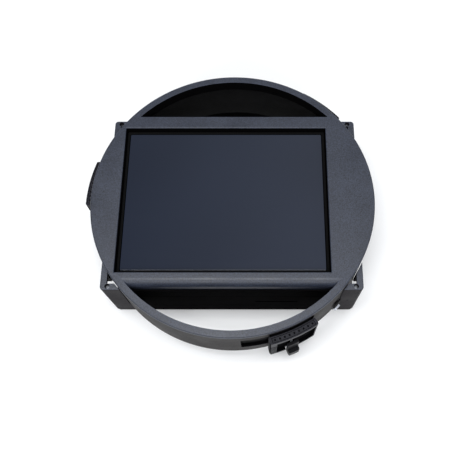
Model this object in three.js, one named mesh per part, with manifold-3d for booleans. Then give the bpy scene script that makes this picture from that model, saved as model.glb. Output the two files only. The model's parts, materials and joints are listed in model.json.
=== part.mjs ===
// Round-faced negative carrier: a tray, a housing that telescopes over it, and a three-grip lock ring.
// Millimetres, +Z up. The design frame has its origin on the ring's axis, in the resting plane.
import * as THREE from 'three';
import { mergeVertices } from 'three/addons/utils/BufferGeometryUtils.js';
import Module from 'manifold-3d';

const wasm = await Module();
wasm.setup();

// Driving dimensions
const DISC_RADIUS = 54;
const HEIGHT = 35.1;
const FRAME_FORMAT = { width: 76, depth: 56.7 };
const GAP = 0.3;
const LOCK_TURN = 10;
const CLAMP_LIFT = 1.2;

// Housing
const PLATE_THICKNESS = 4.9;
const PLATE_BOTTOM = HEIGHT - PLATE_THICKNESS;
const CHORD = 34.9;
const RIM_INNER = 51.2;
const SKIRT_INNER = 53;
const SKIRT_BOTTOM = 11.3;
const SKIRT_EDGE = 0.6;
const REAR_APRON = { bottom: 5, span: [48, 132] };
const DRAIN_SLOT = { span: [-54, -46], heights: [12.6, 13.6] };
const BEZEL_FRONT_RADIUS = 3;
const WINDOW_X = -0.06 * DISC_RADIUS;
const GASKET_WIDTH = 1.5;
const WINDOW = {
  width: FRAME_FORMAT.width + 2 * GASKET_WIDTH,
  depth: FRAME_FORMAT.depth + 2 * GASKET_WIDTH,
};
const GLASS_TOP = HEIGHT - 2.7;
const GLASS_THICKNESS = 2;
const GLASS_FRAME = { x: [-45.6, 39.8], halfY: 30.9, bottom: 28 };
const FRAME_SCREW = { x: [-44.2, 38.2], y: 20 };
const FRAME_SCREW_HEIGHTS = [27, PLATE_BOTTOM + 2.6];

// Tray
const BASE_HALF_X = 48.4;
const BASE_HALF_Y = 35.4;
const BASE_TOP = PLATE_BOTTOM - GAP;
const TOWER_TOP = 31;
const SIDE_WALL = 2.4;
const END_WALL = 2.4;
const FLOOR_THICKNESS = 2;
const FLOOR_INSET = 0.3;
const BASE_BOTTOM = FLOOR_THICKNESS + GAP;
const NOTCH_INNER = 51.1;
const NOTCH_OUTER = DISC_RADIUS + GAP;
const NOTCH_FLOOR = SKIRT_BOTTOM - GAP;
const CORNER_SCREW = { x: 45.7, y: 34 };
const CORNER_SCREW_HEIGHTS = [1, PLATE_BOTTOM - GAP];
const CORNER_SCREW_BORE = 0.75;
const CORNER_SCREW_SEAT = 0.95;
const CORNER_LEDGE = [24, 25.5];
const CORNER_LEDGE_Y = [-29.9, -24];
const CORNER_LEDGE_DEPTH = 6;
const SIDE_WINDOW_LOW = { y: [-31, -22.8], z: [3.2, 23.2] };
const SIDE_WINDOW_HIGH = { y: [-32.7, -29.9], z: [10, 29.4] };
const FRONT_SLOT = { x: [8.5, 25], z: [13.4, 14.7] };

// Film stage
const STAGE_TOP = 27.4;
const STAGE_THICKNESS = 2.5;
const STAGE_BOTTOM = STAGE_TOP - STAGE_THICKNESS;
const STAGE_X = [-43, 36.4];
const STAGE_RADIUS = 50.9;
const LEDGE = 1.5;
const LUG_ANGLES = [36.5, 143.5, 216.5, 323.5];
const LUG_HALF_ANGLE = 1.7;
const LUG_RADIUS = 52.35;
const LUG_ROOT = 43;
const STAGE_HALF_Y = 32.2;
const STAGE_SCREW_X = [-44.4, 39.2];
const STAGE_SCREW_LENGTH = 3;
const SCREW_BORE = 0.9;
const STAGE_SCREW_SEAT = 1.5;
const SHELF_Y = 12;
const SHELF_HALF = 2.5;
const SHELF_THICKNESS = 3;
const SHELF_ENDS = [-42.4, 36.9];
const RAIL = { x: [-34, 30], y: [31.2, 32.1], height: 1.9 };

// Lock ring
const RING_INNER = 51.4;
const RING_OUTER = 52.65;
const RING_BOTTOM = 12;
const RING_TOP = PLATE_BOTTOM - 0.4;
const GRIP_SPAN = 19.4;
const GRIPS = [
  { name: 'grip_front', angle: -66 },
  { name: 'grip_rear', angle: 50.8 },
  { name: 'grip_left', angle: 171.5 },
];
const GRIP_INNER = DISC_RADIUS + 0.4;
const GRIP_OUTER = 57.2;
const GRIP_BOTTOM = 10;
const GRIP_RECESS = [GRIP_BOTTOM + 2.2, 27.4];
const GRIP_RECESS_INNER = 55.8;
const GRIP_TOP = 29.7;
const SLOT_BOTTOM = 17.8;
const SLOT_TOP = 32.2;
const STEM = [-9.2, -0.8];
const SKIRT_WINDOW = [-86.4, -66];
const TOOTH_COUNT = 4;
const TOOTH_PITCH = 2.6;
const RIB_COUNT = 10;
const GRIP_SCREW_ANGLES = [-7.2, -2.8];
const GRIP_SCREW_HEIGHT = 24;
const GRIP_SCREW_END = 55.2;
const CATCH_ANGLE = -66.8;
const CATCH_HALF_ANGLE = 2.2;
const CATCH_TRAVEL = 0.8;
const CATCH_OUTER = 59.7;
const CATCH_SPRING_HEIGHT = 18.5;
const CATCH_FOOT_TOP = 13.8;
const CATCH_TOP = 21.5;
const CATCH_STEM = 1.2;
const CLIP_SPAN = [-44.6, -41.6];
const CLIP_HEIGHTS = [13.6, 21];
const CLIP_LIP = { reach: 55.6, top: 14.4 };

const FACETS = 96;

// A closed geometry becomes a solid that can be joined and cut.
function solid(geometry) {
  geometry.deleteAttribute('normal');
  geometry.deleteAttribute('uv');
  const merged = mergeVertices(geometry, 1e-4);
  return new wasm.Manifold(new wasm.Mesh({
    numProp: 3,
    vertProperties: new Float32Array(merged.attributes.position.array),
    triVerts: new Uint32Array(merged.index.array),
  }));
}

function block([x0, x1], [y0, y1], [z0, z1]) {
  const geometry = new THREE.BoxGeometry(x1 - x0, y1 - y0, z1 - z0);
  return solid(geometry.translate((x0 + x1) / 2, (y0 + y1) / 2, (z0 + z1) / 2));
}

function rectangle(centreX, width, depth, heights) {
  return block([centreX - width / 2, centreX + width / 2], [-depth / 2, depth / 2], heights);
}

function pin(x, y, radius, [z0, z1], facets = 16) {
  const geometry = new THREE.CylinderGeometry(radius, radius, z1 - z0, facets);
  return solid(geometry.rotateX(Math.PI / 2).translate(x, y, (z0 + z1) / 2));
}

// A pin whose axis points away from the ring's axis.
function radialPin(degrees, z, radius, [r0, r1]) {
  const geometry = new THREE.CylinderGeometry(radius, radius, r1 - r0, 12);
  geometry.rotateZ(-Math.PI / 2).translate((r0 + r1) / 2, 0, z);
  return solid(geometry.rotateZ(THREE.MathUtils.degToRad(degrees)));
}

function turned(profile) {
  const points = profile.map(([radius, z]) => new THREE.Vector2(radius, z));
  return solid(new THREE.LatheGeometry(points, FACETS).rotateX(Math.PI / 2));
}

function disc(radius, [z0, z1]) {
  return pin(0, 0, radius, [z0, z1], FACETS);
}

function hoop(inner, outer, [z0, z1]) {
  return disc(outer, [z0, z1]).subtract(disc(inner, [z0 - 1, z1 + 1]));
}

// Part of a hoop between two angles in degrees.
function sector([r0, r1], [a0, a1], [z0, z1]) {
  const start = THREE.MathUtils.degToRad(a0);
  const end = THREE.MathUtils.degToRad(a1);
  const shape = new THREE.Shape();
  shape.absarc(0, 0, r1, start, end, false);
  shape.absarc(0, 0, r0, end, start, true);
  shape.closePath();
  const curveSegments = Math.max(1, Math.ceil((a1 - a0) / 8));
  const geometry = new THREE.ExtrudeGeometry(shape, { depth: z1 - z0, bevelEnabled: false, curveSegments });
  return solid(geometry.translate(0, 0, z0));
}

function topHousing() {
  let body = turned([
    [0, PLATE_BOTTOM],
    [SKIRT_INNER, PLATE_BOTTOM],
    [SKIRT_INNER, SKIRT_BOTTOM],
    [DISC_RADIUS, SKIRT_BOTTOM],
    [DISC_RADIUS, HEIGHT - SKIRT_EDGE],
    [DISC_RADIUS - SKIRT_EDGE, HEIGHT],
    [0, HEIGHT],
  ]);
  const through = [PLATE_BOTTOM - 1, HEIGHT + 1];
  body = body.subtract(rectangle(WINDOW_X, WINDOW.width, WINDOW.depth, through));
  for (const side of [-1, 1]) {
    const beyond = [CHORD * side, DISC_RADIUS * side].sort((a, b) => a - b);
    const half = block([-DISC_RADIUS, DISC_RADIUS], beyond, through);
    body = body.subtract(disc(RIM_INNER, through).intersect(half));
  }
  body = body.subtract(bezelRounding());
  const skirtCut = [RING_OUTER + 0.1, DISC_RADIUS + 1];
  for (const { angle } of GRIPS) {
    const span = [angle + STEM[0] - 0.4, angle + STEM[1] + LOCK_TURN + 0.4];
    body = body.subtract(sector(skirtCut, span, [SLOT_BOTTOM, SLOT_TOP]));
  }
  body = body.subtract(sector(skirtCut, SKIRT_WINDOW, [SLOT_BOTTOM, RING_TOP]));
  body = body.subtract(sector(skirtCut, DRAIN_SLOT.span, DRAIN_SLOT.heights));
  for (const [x, y] of frameScrewPlaces()) {
    body = body.subtract(pin(x, y, SCREW_BORE, [PLATE_BOTTOM - 1, PLATE_BOTTOM + 3]));
  }
  const apron = [REAR_APRON.bottom, SKIRT_BOTTOM + 1];
  return body.add(sector([SKIRT_INNER, DISC_RADIUS], REAR_APRON.span, apron).intersect(
    hoop(SKIRT_INNER, DISC_RADIUS, apron)));
}

// What is cut away to round the long front edge of the bezel.
function bezelRounding() {
  const radius = BEZEL_FRONT_RADIUS;
  const reach = Math.sqrt(RIM_INNER ** 2 - CHORD ** 2) - 0.1;
  const shape = new THREE.Shape();
  shape.moveTo(-CHORD - 0.5, HEIGHT + 0.5);
  shape.lineTo(-CHORD - 0.5, HEIGHT - radius);
  shape.lineTo(-CHORD, HEIGHT - radius);
  shape.absarc(-CHORD + radius, HEIGHT - radius, radius, Math.PI, Math.PI / 2, true);
  shape.lineTo(-CHORD + radius, HEIGHT + 0.5);
  shape.closePath();
  const options = { depth: 2 * reach, bevelEnabled: false, curveSegments: 3 };
  const geometry = new THREE.ExtrudeGeometry(shape, options);
  geometry.applyMatrix4(new THREE.Matrix4().makeBasis(
    new THREE.Vector3(0, 1, 0), new THREE.Vector3(0, 0, 1), new THREE.Vector3(1, 0, 0)));
  return solid(geometry.translate(-reach, 0, 0));
}

function pairs(xs, ys) {
  return xs.flatMap((x) => ys.map((y) => [x, y]));
}

function frameScrewPlaces() {
  return pairs(FRAME_SCREW.x, [-FRAME_SCREW.y, FRAME_SCREW.y]);
}

function stageScrewPlaces() {
  return pairs(STAGE_SCREW_X, [-SHELF_Y, SHELF_Y]);
}

function cornerPlaces() {
  return pairs([-CORNER_SCREW.x, CORNER_SCREW.x], [-CORNER_SCREW.y, CORNER_SCREW.y]);
}

function glassPane() {
  const heights = [GLASS_TOP - GLASS_THICKNESS, GLASS_TOP];
  return rectangle(WINDOW_X, FRAME_FORMAT.width, FRAME_FORMAT.depth, heights);
}

function glassGasket() {
  const heights = [GLASS_TOP - GLASS_THICKNESS, GLASS_TOP];
  const outer = rectangle(WINDOW_X, WINDOW.width - 2 * GAP, WINDOW.depth - 2 * GAP, heights);
  const width = FRAME_FORMAT.width + 2 * GAP;
  const depth = FRAME_FORMAT.depth + 2 * GAP;
  return outer.subtract(rectangle(WINDOW_X, width, depth, [heights[0] - 1, heights[1] + 1]));
}

function glassFrame() {
  const heights = [GLASS_FRAME.bottom, BASE_TOP];
  const through = [heights[0] - 1, heights[1] + 1];
  let body = block(GLASS_FRAME.x, [-GLASS_FRAME.halfY, GLASS_FRAME.halfY], heights);
  body = body.intersect(disc(STAGE_RADIUS, through));
  const opening = [FRAME_FORMAT.width - 2 * LEDGE, FRAME_FORMAT.depth - 2 * LEDGE];
  body = body.subtract(rectangle(WINDOW_X, opening[0], opening[1], through));
  for (const [x, y] of frameScrewPlaces()) {
    body = body.subtract(pin(x, y, SCREW_BORE, through));
  }
  return body;
}

function baseFrame() {
  const heights = [BASE_BOTTOM, TOWER_TOP];
  const through = [heights[0] - 1, heights[1] + 1];
  const innerX = BASE_HALF_X - SIDE_WALL;
  const innerY = BASE_HALF_Y - END_WALL;
  let body = block([-BASE_HALF_X, BASE_HALF_X], [-BASE_HALF_Y, BASE_HALF_Y], heights);
  body = body.subtract(block([-innerX, innerX], [-innerY, innerY], through));
  body = body.subtract(disc(NOTCH_OUTER, [BASE_TOP, through[1]]));
  body = body.subtract(hoop(NOTCH_INNER, NOTCH_OUTER, [NOTCH_FLOOR, through[1]]));
  for (const side of [-1, 1]) {
    body = body.add(cornerLedge(side * innerX));
    const shelfY = [side * SHELF_Y - SHELF_HALF, side * SHELF_Y + SHELF_HALF];
    const shelfZ = [STAGE_BOTTOM - GAP - SHELF_THICKNESS, STAGE_BOTTOM - GAP];
    body = body.add(block([SHELF_ENDS[1], innerX + 0.5], shelfY, shelfZ));
    body = body.add(block([-innerX - 0.5, SHELF_ENDS[0]], shelfY, shelfZ));
    const wall = [side * (innerX - 0.5), side * (BASE_HALF_X + 0.5)].sort((a, b) => a - b);
    for (const opening of [SIDE_WINDOW_LOW, SIDE_WINDOW_HIGH]) {
      body = body.subtract(block(wall, opening.y, opening.z));
    }
  }
  for (const [x, y] of stageScrewPlaces()) {
    body = body.subtract(pin(x, y, SCREW_BORE, [STAGE_BOTTOM - 5, STAGE_BOTTOM]));
  }
  for (const [x, y] of cornerPlaces()) {
    body = body.subtract(pin(x, y, CORNER_SCREW_BORE, through));
    body = body.subtract(pin(x, y, CORNER_SCREW_SEAT, [CORNER_SCREW_HEIGHTS[1] - 1, through[1]]));
  }
  return body.subtract(block(FRONT_SLOT.x, [-BASE_HALF_Y - 1, -innerY + 1], FRONT_SLOT.z));
}

// A shelf in a front corner pocket, with a slot left open along the front wall.
function cornerLedge(wallX) {
  const side = Math.sign(wallX);
  const reach = [wallX - side * CORNER_LEDGE_DEPTH, wallX + side * 0.5].sort((a, b) => a - b);
  const through = [CORNER_LEDGE[0] - 1, CORNER_LEDGE[1] + 1];
  return block(reach, CORNER_LEDGE_Y, CORNER_LEDGE).subtract(disc(NOTCH_OUTER, through));
}

function bottomPlate() {
  const heights = [0, FLOOR_THICKNESS];
  const halfX = BASE_HALF_X - FLOOR_INSET;
  const halfY = BASE_HALF_Y - FLOOR_INSET;
  let body = block([-halfX, halfX], [-halfY, halfY], heights);
  const opening = [FRAME_FORMAT.width + 2, FRAME_FORMAT.depth + 2];
  body = body.subtract(rectangle(WINDOW_X, opening[0], opening[1], [-1, FLOOR_THICKNESS + 1]));
  for (const [x, y] of cornerPlaces()) {
    const bore = [CORNER_SCREW_HEIGHTS[0] - GAP, FLOOR_THICKNESS + 1];
    body = body.subtract(pin(x, y, CORNER_SCREW_BORE, bore));
  }
  return body;
}

function filmStage() {
  const heights = [STAGE_BOTTOM, STAGE_TOP];
  const through = [STAGE_BOTTOM - 1, STAGE_TOP + 1];
  let body = block(STAGE_X, [-STAGE_HALF_Y, STAGE_HALF_Y], heights);
  body = body.intersect(disc(STAGE_RADIUS, through));
  for (const [x, y] of stageScrewPlaces()) {
    const ear = x > 0 ? [STAGE_X[1] - 1, x + 1.8] : [x - 1.3, STAGE_X[0] + 1];
    body = body.add(block(ear, [y - 2.2, y + 2.2], heights));
  }
  for (const angle of LUG_ANGLES) {
    const span = [angle - LUG_HALF_ANGLE, angle + LUG_HALF_ANGLE];
    body = body.add(sector([LUG_ROOT, LUG_RADIUS], span, heights));
  }
  const opening = [FRAME_FORMAT.width - 2 * LEDGE, FRAME_FORMAT.depth - 2 * LEDGE];
  body = body.subtract(rectangle(WINDOW_X, opening[0], opening[1], through));
  const rebate = [FRAME_FORMAT.width + 2 * GAP, FRAME_FORMAT.depth + 2 * GAP];
  body = body.subtract(rectangle(WINDOW_X, rebate[0], rebate[1], [STAGE_BOTTOM + 0.7, through[1]]));
  for (const [x, y] of stageScrewPlaces()) {
    body = body.subtract(pin(x, y, SCREW_BORE, through));
    body = body.subtract(pin(x, y, STAGE_SCREW_SEAT, [STAGE_TOP - 1, through[1]]));
  }
  return body;
}

function lowerGlass() {
  return rectangle(WINDOW_X, FRAME_FORMAT.width, FRAME_FORMAT.depth, [STAGE_BOTTOM + 1, STAGE_TOP]);
}

function filmRail(side) {
  const y = RAIL.y.map((value) => side * value).sort((a, b) => a - b);
  return block(RAIL.x, y, [STAGE_TOP + GAP, STAGE_TOP + GAP + RAIL.height]);
}

// A bayonet slot: an inclined run that draws the lug down, and a mouth that opens at the ring's lower edge.
function bayonetSlot(lugAngle) {
  const steps = 5;
  const half = LUG_HALF_ANGLE + 0.5;
  const radii = [RING_INNER - 1, RING_OUTER + 1];
  const mouth = [lugAngle - LOCK_TURN - half, lugAngle - LOCK_TURN + half];
  let slot = sector(radii, mouth, [RING_BOTTOM - 1, STAGE_TOP - CLAMP_LIFT + GAP]);
  for (let step = 0; step < steps; step += 1) {
    const along = [step / steps, (step + 1) / steps];
    const span = [lugAngle - half - LOCK_TURN * along[1], lugAngle + half - LOCK_TURN * along[0]];
    const heights = [
      STAGE_BOTTOM - GAP - CLAMP_LIFT * along[1],
      STAGE_TOP + GAP - CLAMP_LIFT * along[0],
    ];
    slot = slot.add(sector(radii, span, heights));
  }
  return slot;
}

function lockRing() {
  let body = hoop(RING_INNER, RING_OUTER, [RING_BOTTOM, RING_TOP]);
  for (const angle of LUG_ANGLES) {
    body = body.subtract(bayonetSlot(angle));
  }
  for (let tooth = 0; tooth < TOOTH_COUNT; tooth += 1) {
    const start = SKIRT_WINDOW[0] + 1 + TOOTH_PITCH * tooth;
    const toothSpan = [start, start + TOOTH_PITCH / 2];
    body = body.add(sector([RING_OUTER - 0.5, RING_OUTER + 0.2], toothSpan, [RING_TOP - 2, RING_TOP - 0.6]));
  }
  for (const { angle } of GRIPS) {
    for (const offset of GRIP_SCREW_ANGLES) {
      const place = angle + offset;
      body = body.subtract(radialPin(place, GRIP_SCREW_HEIGHT, 0.9, [RING_INNER - 1, RING_OUTER + 1]));
      body = body.subtract(radialPin(place, GRIP_SCREW_HEIGHT, 1.5, [RING_INNER - 1, 52.25]));
    }
  }
  return body;
}

function grip({ name, angle }) {
  const span = [angle - GRIP_SPAN / 2, angle + GRIP_SPAN / 2];
  const stem = [angle + STEM[0], angle + STEM[1]];
  let body = sector([GRIP_INNER, GRIP_OUTER - 0.5], span, [GRIP_BOTTOM, GRIP_TOP]);
  body = body.add(sector([RING_OUTER + GAP, GRIP_INNER + 0.5], stem, [SLOT_BOTTOM + GAP, GRIP_TOP - 0.3]));
  const pitch = GRIP_SPAN / RIB_COUNT;
  for (let rib = 0; rib < RIB_COUNT; rib += 1) {
    const start = span[0] + pitch * (rib + 0.2);
    const ribSpan = [start, start + pitch * 0.6];
    body = body.add(sector([GRIP_OUTER - 1, GRIP_OUTER], ribSpan, [GRIP_BOTTOM + 1, GRIP_TOP - 0.5]));
  }
  if (name === 'grip_front') {
    const recessRadii = [GRIP_RECESS_INNER, GRIP_OUTER + 1];
    body = body.subtract(sector(recessRadii, [span[0] + 2.2, span[1] - 1], GRIP_RECESS));
    const notch = [CATCH_ANGLE - CATCH_HALF_ANGLE - 0.35, CATCH_ANGLE + CATCH_HALF_ANGLE + 0.35];
    body = body.subtract(sector(recessRadii, notch, [GRIP_BOTTOM - 1, GRIP_RECESS[0] + 1]));
  }
  for (const offset of GRIP_SCREW_ANGLES) {
    body = body.subtract(radialPin(angle + offset, GRIP_SCREW_HEIGHT, 0.9, [RING_OUTER, GRIP_SCREW_END + GAP]));
  }
  return body;
}

function gripScrew(angle) {
  const head = radialPin(angle, GRIP_SCREW_HEIGHT, 1.2, [RING_INNER + 0.1, 51.95]);
  return head.add(radialPin(angle, GRIP_SCREW_HEIGHT, 0.6, [RING_INNER + 0.3, GRIP_SCREW_END]));
}

function releaseCatch() {
  const span = [CATCH_ANGLE - CATCH_HALF_ANGLE, CATCH_ANGLE + CATCH_HALF_ANGLE];
  const back = GRIP_RECESS_INNER + GAP + CATCH_TRAVEL;
  const foot = sector([back, CATCH_OUTER], span, [GRIP_BOTTOM - 1, CATCH_FOOT_TOP]);
  const body = foot.add(sector([back, back + CATCH_STEM], span, [CATCH_FOOT_TOP - GAP, CATCH_TOP]));
  return body.subtract(radialPin(CATCH_ANGLE, CATCH_SPRING_HEIGHT, 0.9, [back - 1, back + 0.9]));
}

function catchSpring() {
  const ends = [GRIP_RECESS_INNER + 0.1, GRIP_RECESS_INNER + 0.8];
  return radialPin(CATCH_ANGLE, CATCH_SPRING_HEIGHT, 0.5, ends);
}

function indexClip() {
  const leaf = sector([DISC_RADIUS + GAP, DISC_RADIUS + 3 * GAP], CLIP_SPAN, CLIP_HEIGHTS);
  return leaf.add(sector([DISC_RADIUS + GAP, CLIP_LIP.reach], CLIP_SPAN, [CLIP_HEIGHTS[0], CLIP_LIP.top]));
}

function screw(x, y, [z0, z1], shank, head, headHeight, headAtTop) {
  const headZ = headAtTop ? [z1 - headHeight, z1] : [z0, z0 + headHeight];
  return pin(x, y, shank, [z0, z1], 10).add(pin(x, y, head, headZ, 12));
}

function finish(color, roughness, metalness) {
  return new THREE.MeshStandardMaterial({ color, roughness, metalness });
}

const FACE_PLASTIC = [0x565b63, 0.55, 0];
const BODY_PLASTIC = [0x34343a, 0.6, 0];
const GRIP_PLASTIC = [0x2a2b2f, 0.55, 0];
const BLACK_RUBBER = [0x070708, 0.8, 0];
const DARK_GLASS = [0x2b303b, 0.08, 0];
const BLACK_METAL = [0x17181a, 0.5, 0.6];
const STEEL = [0xb9bcc0, 0.3, 1];

// All the pieces, in the design frame
const assembly = new THREE.Group();

function place(name, body, look) {
  const { numProp, vertProperties, triVerts } = body.getMesh();
  const geometry = new THREE.BufferGeometry();
  geometry.setAttribute('position', new THREE.BufferAttribute(vertProperties, numProp));
  geometry.setIndex(new THREE.BufferAttribute(triVerts, 1));
  geometry.computeVertexNormals();
  const mesh = new THREE.Mesh(geometry, finish(...look));
  mesh.name = name;
  assembly.add(mesh);
}

place('base_frame', baseFrame(), BODY_PLASTIC);
place('bottom_plate', bottomPlate(), BODY_PLASTIC);
place('film_stage', filmStage(), BLACK_METAL);
place('lower_glass', lowerGlass(), DARK_GLASS);
place('film_rail_front', filmRail(-1), BLACK_METAL);
place('film_rail_rear', filmRail(1), BLACK_METAL);
stageScrewPlaces().forEach(([x, y], index) => {
  const heights = [STAGE_BOTTOM - STAGE_SCREW_LENGTH, STAGE_TOP];
  place(`stage_screw_${index + 1}`, screw(x, y, heights, 0.6, 1.2, 0.5, true), STEEL);
});
cornerPlaces().forEach(([x, y], index) => {
  place(`corner_screw_${index + 1}`, screw(x, y, CORNER_SCREW_HEIGHTS, 0.45, 0.7, 0.6, true), STEEL);
});

place('top_housing', topHousing(), FACE_PLASTIC);
place('glass_pane', glassPane(), DARK_GLASS);
place('glass_gasket', glassGasket(), BLACK_RUBBER);
place('glass_frame', glassFrame(), BLACK_METAL);
frameScrewPlaces().forEach(([x, y], index) => {
  place(`frame_screw_${index + 1}`, screw(x, y, FRAME_SCREW_HEIGHTS, 0.6, 1.1, 0.7, false), STEEL);
});
place('index_clip', indexClip(), STEEL);

place('lock_ring', lockRing(), BLACK_METAL);
for (const { name, angle } of GRIPS) {
  place(name, grip({ name, angle }), GRIP_PLASTIC);
  GRIP_SCREW_ANGLES.forEach((offset, index) => {
    place(`${name}_screw_${index + 1}`, gripScrew(angle + offset), STEEL);
  });
}
place('catch_spring', catchSpring(), STEEL);
place('release_catch', releaseCatch(), GRIP_PLASTIC);

// The part's own origin is the middle of its footprint, in the resting plane.
const footprint = new THREE.Box3().setFromObject(assembly, true);
const centre = footprint.getCenter(new THREE.Vector3());
assembly.position.set(-centre.x, -centre.y, -footprint.min.z);

const negativeCarrier = new THREE.Group();
negativeCarrier.add(assembly);
export default negativeCarrier;
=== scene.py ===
"""A round-faced glass negative carrier: its studio, mouldings, lock ring, glass, screws and finishes."""

import json
import math

import bpy
from mathutils import Matrix, Vector


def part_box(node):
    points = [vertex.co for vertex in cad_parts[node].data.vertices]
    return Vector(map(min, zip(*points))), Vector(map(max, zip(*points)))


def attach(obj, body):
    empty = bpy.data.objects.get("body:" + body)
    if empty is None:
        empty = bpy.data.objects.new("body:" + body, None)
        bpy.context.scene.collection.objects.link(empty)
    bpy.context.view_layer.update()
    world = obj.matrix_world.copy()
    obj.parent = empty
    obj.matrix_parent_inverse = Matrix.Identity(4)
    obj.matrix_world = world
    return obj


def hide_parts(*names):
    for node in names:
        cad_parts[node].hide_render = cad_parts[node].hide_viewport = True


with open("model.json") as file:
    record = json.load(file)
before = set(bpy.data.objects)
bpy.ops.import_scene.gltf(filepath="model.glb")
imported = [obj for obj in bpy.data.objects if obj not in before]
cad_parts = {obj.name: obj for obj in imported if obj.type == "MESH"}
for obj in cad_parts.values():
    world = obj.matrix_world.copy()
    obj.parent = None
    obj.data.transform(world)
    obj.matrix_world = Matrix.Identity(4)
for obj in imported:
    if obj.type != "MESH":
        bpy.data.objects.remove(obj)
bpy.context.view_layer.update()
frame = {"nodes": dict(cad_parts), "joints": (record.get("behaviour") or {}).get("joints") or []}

# ---------------------------------------------------------------- sizes: mm about the ring's axis, and degrees
MM = 0.001
ROUND = 256
joints = {joint["name"]: joint for joint in frame["joints"]}
AXIS_X, AXIS_Y, _ = joints["lock_ring_turn"]["pos_m"]
LOCK_TURN = joints["lock_ring_turn"]["range_deg"][1]


def cad_mm(node):
    """Lowest and highest corner of a CAD node, in millimetres about the ring's axis."""
    low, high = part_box(node)
    shift = Vector((AXIS_X, AXIS_Y, 0))
    return (low - shift) / MM, (high - shift) / MM


housing_low, housing_high = cad_mm("top_housing")
tray_low, tray_high = cad_mm("base_frame")
floor_low, floor_high = cad_mm("bottom_plate")
glass_low, glass_high = cad_mm("glass_pane")
under_low, under_high = cad_mm("lower_glass")
gasket_low, gasket_high = cad_mm("glass_gasket")
ring_low, ring_high = cad_mm("lock_ring")
grip_low, grip_high = cad_mm("grip_left")
catch_low, catch_high = cad_mm("release_catch")
clip_low, clip_high = cad_mm("index_clip")
stage_low, stage_high = cad_mm("film_stage")

GAP = 0.3
NEAR = 0.01
FACE = housing_high.z
DISC = (housing_high.x - housing_low.x) / 2
APRON_BOTTOM = housing_low.z
SKIRT_BOTTOM = 11.3
PLATE_BOTTOM = FACE - 4.9
BASE_TOP = PLATE_BOTTOM - GAP
RIM_INNER = 51.2
SKIRT_INNER = 53.0
WINDOW_LOW = gasket_low - Vector((GAP, GAP, 0))
WINDOW_HIGH = gasket_high + Vector((GAP, GAP, 0))
FACE_ROUND = 0.55
WINDOW_ROUND = 0.34
BEZEL_RADIUS = 3.0
CHORD = 34.9
REAR_APRON = (48, 132)
RIM_GROOVE = (FACE - 1.35, FACE - 1.0)
RIM_GROOVE_DEPTH = 0.28
DRAIN_SPAN = (-54, -46)
DRAIN_LEVELS = (12.6, 13.6)
RING_OUTER = (ring_high.x - ring_low.x) / 2
RING_INNER = RING_OUTER - 1.25
NOTCH = (RING_INNER - GAP, DISC + GAP)
SIDE_WALL = 2.4
END_WALL = 2.4
TOWER_ROUND = 1.3
TOWER_TOP_ROUND = 0.35
LEDGE_DEPTH = 6
LEDGE_Y = (-29.9, -24)
LEDGE_LEVELS = (24, 25.5)
LOW_WINDOW_Y = (-31, -22.8)
LOW_WINDOW_LEVELS = (3.2, 23.2)
HIGH_WINDOW_Y = (-32.7, -29.9)
HIGH_WINDOW_LEVELS = (10, 29.4)
FRONT_SLOT_X = (8.5, 25)
FRONT_SLOT_LEVELS = (13.4, 14.7)
FRONT_LINES = (8.6, 21.4, 27.2)
FRONT_LINE_HALF = 36.8
FRONT_LINE_DEPTH = 0.22
GATE_MARK = (44.2, 16.2)
GATE_MARK_RADIUS = 0.45
GRIP_ANGLES = {"grip_front": -66.0, "grip_rear": 50.8, "grip_left": 171.5}
GRIP_HALF = 9.7
GRIP_INNER = DISC + 0.4
GRIP_OUTER = 57.2
GRIP_STEM = (-9.2, -0.8)
STEM_ROOM = 0.4
GRIP_SCREWS = (-7.2, -2.8)
GRIP_SCREW_HEIGHT = 24.0
GRIP_SCREW_TIP = 55.2
GRIP_SCREW_WAY = 55.5
GRIP_SCREW_SEAT = 1.5
GRIP_ARC = 0.6
GRIP_MARKS = 9
GRIP_MARK_PITCH = 1.9
HOOD_RADIUS = 55.8
HOOD_TOP = 27.4
HOOD_LIP = 1.3
END_RIDGES = 6
END_RIDGE_PITCH = 2.3
END_RIDGE_WIDTH = 1.1
CATCH_ANGLE = -66.8
CATCH_HALF = 2.2
CATCH_ARC = 0.55
TONGUE_BACK = 56.9
TONGUE_TIP = 59.7
TONGUE_TOP = 13.8
THUMB_GROOVES = (58.3, 58.95)
SPRING_HEIGHT = 18.5
CLIP_SPAN = (-44.6, -41.6)
CLIP_REACH = 55.6
CLIP_ARC = 0.5
RIVET_HEIGHT = 18.6
LEAF_RELIEF_LEVELS = (15.2, 17.4)
CORNER_SCREW = (45.7, 34.0)
SCREW_HOLE = 0.75
CORNER_SEAT = 0.95
WIDE_HOLE = 0.9
STAGE_SCREW_X = (39.2, -44.4)
SHELF_Y = 12
SHELF_HALF = 2.5
SHELF_THICK = 3.0
SHELF_ENDS = (36.9, -42.4)
SKIRT_WINDOW = (-86.4, -66.0)
SKIRT_SLOT_BOTTOM = 17.8
SKIRT_SLOT_TOP = 32.2
TEETH = 4
TOOTH_PITCH = 2.6
TOOTH_WIDTH = 1.3
STAGE_TOP = stage_high.z
STAGE_BOTTOM = stage_low.z
LUG_ANGLES = (36.5, 143.5, 216.5, 323.5)
LUG_HALF = 2.2
CLAMP_LIFT = joints["housing_lift"]["range_m"][1] / MM


def at(x, y, z):
    return Vector((AXIS_X + x * MM, AXIS_Y + y * MM, z * MM))


def polar(radius, degrees, z):
    angle = math.radians(degrees)
    return at(radius * math.cos(angle), radius * math.sin(angle), z)


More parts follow.
